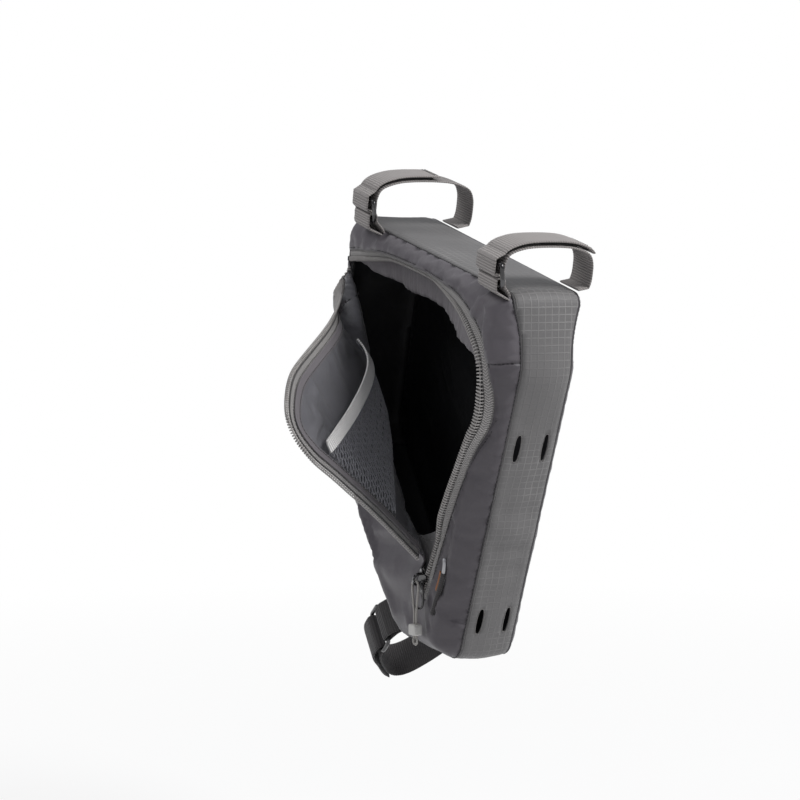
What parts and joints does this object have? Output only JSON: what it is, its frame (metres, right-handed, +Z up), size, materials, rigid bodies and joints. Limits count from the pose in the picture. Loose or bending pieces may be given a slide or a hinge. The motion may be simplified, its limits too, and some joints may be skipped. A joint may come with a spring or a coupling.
{
  "type": "bicycle frame bag",
  "caption": "Soft five-sided bag that straps inside a bicycle frame, with a zipped side flap standing open, a mesh pocket on the flap and webbing straps.",
  "frame": {"origin": "middle of the bag's top face between its two top straps, where it meets the top tube", "axes": "+Z up as the bag hangs on the bicycle, -X towards the front wheel, -Y out of the side with the zip; the top face slopes 12 degrees, higher at the front"},
  "size_m": [0.2703, 0.1818, 0.3528],
  "materials": {
    "ripstop": "coated ripstop cloth, dark grey",
    "shell_nylon": "plain nylon cloth, dark grey",
    "lining": "thin black lining",
    "grey_webbing": "ribbed grey webbing",
    "black_webbing": "ribbed black webbing",
    "hook_pad": "black hook and loop",
    "zip_tape": "woven zip tape",
    "zip_coil": "moulded nylon coil",
    "pocket_mesh": "knitted mesh",
    "pocket_elastic": "woven elastic",
    "dark_metal": "dark plated wire and sheet",
    "pull_cord": "braided cord",
    "cord_bead": "moulded soft plastic",
    "reflective_tab": "silver reflective tape",
    "orange_label": "woven ribbon"
  },
  "bodies": {
    "bag": {"bottom_panel": "shell_nylon", "downtube_panel": "shell_nylon", "far_side_panel": "shell_nylon", "front_panel": "shell_nylon", "front_strap": "grey_webbing", "front_strap_tab": "grey_webbing", "garage_binding": "zip_tape", "garage_label": "orange_label", "garage_tab": "reflective_tab", "lip_facing": "lining", "lower_strap": "black_webbing", "lower_strap_tab": "black_webbing", "near_lower_panel": "shell_nylon", "near_top_panel": "shell_nylon", "opening_web": "lining", "rear_gusset": "ripstop", "rear_strap": "grey_webbing", "rear_strap_tab": "grey_webbing", "top_panel": "ripstop", "zip_end_stop": "dark_metal", "zip_tape_fixed": "zip_tape", "zip_tape_foot": "zip_tape", "zip_teeth_fixed": "zip_coil", "zip_teeth_foot": "zip_coil", "zip_top_stop": "dark_metal"},
    "flap": {"zip_flap": "shell_nylon", "zip_tape_flap": "zip_tape", "zip_teeth_flap": "zip_coil", "mesh_pocket": "pocket_mesh", "pocket_band": "pocket_elastic"},
    "slider": {"slider_body": "dark_metal", "slider_bridge": "dark_metal"},
    "puller": {"puller_ring": "dark_metal"},
    "pull": {"pull_cord": "pull_cord", "cord_bead": "cord_bead"},
    "front_ring": {"front_strap_ring": "dark_metal"},
    "rear_ring": {"rear_strap_ring": "dark_metal"},
    "lower_ring": {"lower_strap_ring": "dark_metal"},
    "front_tail": {"front_strap_tail": "grey_webbing", "front_hook_pad": "hook_pad"},
    "rear_tail": {"rear_strap_tail": "grey_webbing", "rear_hook_pad": "hook_pad"},
    "lower_tail": {"lower_strap_tail": "black_webbing"}
  },
  "joints": [
    {"name": "flap_hinge", "type": "hinge", "parent": "bag", "child": "flap", "pos_m": [-0.12403, -0.03315, -0.00635], "axis": [0.5497, 0, -0.8354], "range_deg": [-54, 50]},
    {"name": "slider_slide", "type": "slide", "parent": "bag", "child": "slider", "axis": [0.5276, 0, 0.8495], "range_m": [0, 0.014]},
    {"name": "puller_hinge", "type": "hinge", "parent": "slider", "child": "puller", "pos_m": [-0.00045, -0.0376, -0.20884], "axis": [-0.9903, -0.1392, 0], "range_deg": [0, 55]},
    {"name": "pull_swing", "type": "hinge", "parent": "puller", "child": "pull", "pos_m": [-0.00045, -0.0376, -0.20884], "axis": [-0.9903, -0.1392, 0], "range_deg": [0, 25]},
    {"name": "front_ring_swing", "type": "hinge", "parent": "bag", "child": "front_ring", "pos_m": [-0.08434, -0.0367, 0.02406], "axis": [0.9781, 0, -0.2079], "range_deg": [-3, 3]},
    {"name": "front_tail_peel", "type": "hinge", "parent": "bag", "child": "front_tail", "pos_m": [-0.08141, -0.0428, 0.03785], "axis": [0.9781, 0, -0.2079], "range_deg": [0, 110]},
    {"name": "rear_ring_swing", "type": "hinge", "parent": "bag", "child": "rear_ring", "pos_m": [0.09044, -0.031, -0.01462], "axis": [0.9781, 0, -0.2079], "range_deg": [-3, 3]},
    {"name": "rear_tail_peel", "type": "hinge", "parent": "bag", "child": "rear_tail", "pos_m": [0.09337, -0.0371, -0.00083], "axis": [0.9781, 0, -0.2079], "range_deg": [0, 110]},
    {"name": "lower_ring_swing", "type": "hinge", "parent": "bag", "child": "lower_ring", "pos_m": [-0.07923, -0.0266, -0.25001], "axis": [-0.6435, 0, 0.7655], "range_deg": [-3, 3]},
    {"name": "lower_tail_peel", "type": "hinge", "parent": "bag", "child": "lower_tail", "pos_m": [-0.09003, -0.031, -0.25908], "axis": [-0.6435, 0, 0.7655], "range_deg": [0, 110]}
  ]
}
